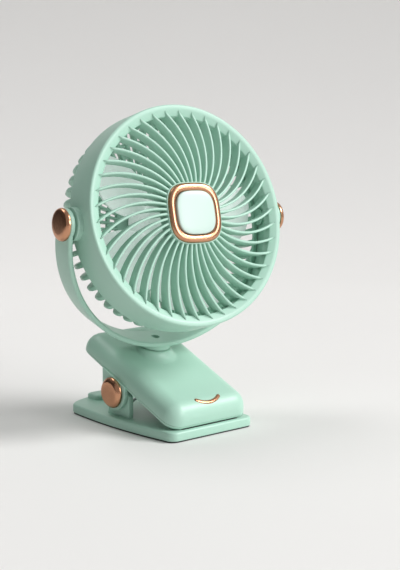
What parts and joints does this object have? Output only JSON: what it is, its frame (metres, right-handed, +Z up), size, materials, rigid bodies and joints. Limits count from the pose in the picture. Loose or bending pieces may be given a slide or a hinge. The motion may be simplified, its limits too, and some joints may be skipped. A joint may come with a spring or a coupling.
{
  "type": "clip fan",
  "caption": "Small clip-on fan: a ribbed round head tilts in a U-shaped yoke that swivels on a spring clip.",
  "frame": {"origin": "under the middle of the clip's plate, on the surface that it stands on", "axes": "+Z up, -Y is the clip's front and the way the fan blows, +X to the right seen from the front"},
  "size_m": [0.1366, 0.095, 0.169],
  "materials": {
    "mint": "satin",
    "copper": "polished",
    "rubber": "matte",
    "steel": "satin",
    "frosted": "frosted",
    "cell": "satin",
    "board": "matte",
    "winding": "satin",
    "magnet": "matte",
    "bush": "satin"
  },
  "bodies": {
    "base": {"base_plate": "mint", "foot_pad": "rubber", "base_grip_pad": "rubber", "hinge_pin": "steel", "pin_cap_left": "copper", "pin_cap_right": "copper", "torsion_spring": "steel"},
    "jaw": {"jaw_cover": "mint", "jaw_underside": "mint", "jaw_inlay": "copper", "jaw_grip_pad": "rubber", "jaw_screws": "steel", "battery_cell": "cell", "charge_board": "board", "usb_c_port": "steel"},
    "yoke": {"yoke_band": "mint", "swivel_washer": "steel", "swivel_screw": "steel", "pivot_knob_left": "copper", "pivot_knob_right": "copper", "pivot_washers": "rubber"},
    "head": {"head_shroud": "mint", "pivot_screws": "steel", "front_grille": "mint", "hub_trim": "copper", "hub_badge": "mint", "rear_grille": "mint", "stator_core": "steel", "stator_winding": "winding", "motor_board": "board", "motor_bushes": "bush", "rear_cap": "mint", "cap_screws": "steel", "control_board": "board", "push_switch": "board"},
    "rotor": {"fan_blades": "frosted", "rotor_cup": "steel", "rotor_magnet": "magnet", "motor_shaft": "steel"},
    "button": {"power_button": "mint"}
  },
  "joints": [
    {"name": "jaw_open", "type": "hinge", "parent": "base", "child": "jaw", "pos_m": [0, 0.001, 0.0184], "axis": [-1, 0, 0], "range_deg": [0, 46], "stiffness_Nm_per_rad": 0.35, "springref_deg": -40.11, "deforming": ["torsion_spring"]},
    {"name": "yoke_swivel", "type": "hinge", "parent": "jaw", "child": "yoke", "pos_m": [0, -0.01458, 0.10895], "axis": [0, -0.225, 0.9744], "range_deg": [-163, 177]},
    {"name": "head_tilt", "type": "hinge", "parent": "yoke", "child": "head", "pos_m": [0, -0.01458, 0.10895], "axis": [0.9925, -0.1187, -0.0274], "range_deg": [-61.5, 118.5]},
    {"name": "blade_spin", "type": "hinge", "parent": "head", "child": "rotor", "pos_m": [0, -0.01458, 0.10895], "axis": [-0.1071, -0.9572, 0.2687], "continuous": true},
    {"name": "power_press", "type": "slide", "parent": "head", "child": "button", "axis": [-0.1071, -0.9572, 0.2687], "range_m": [0, 0.0006], "stiffness_N_per_m": 400, "springref_m": -0.001}
  ]
}
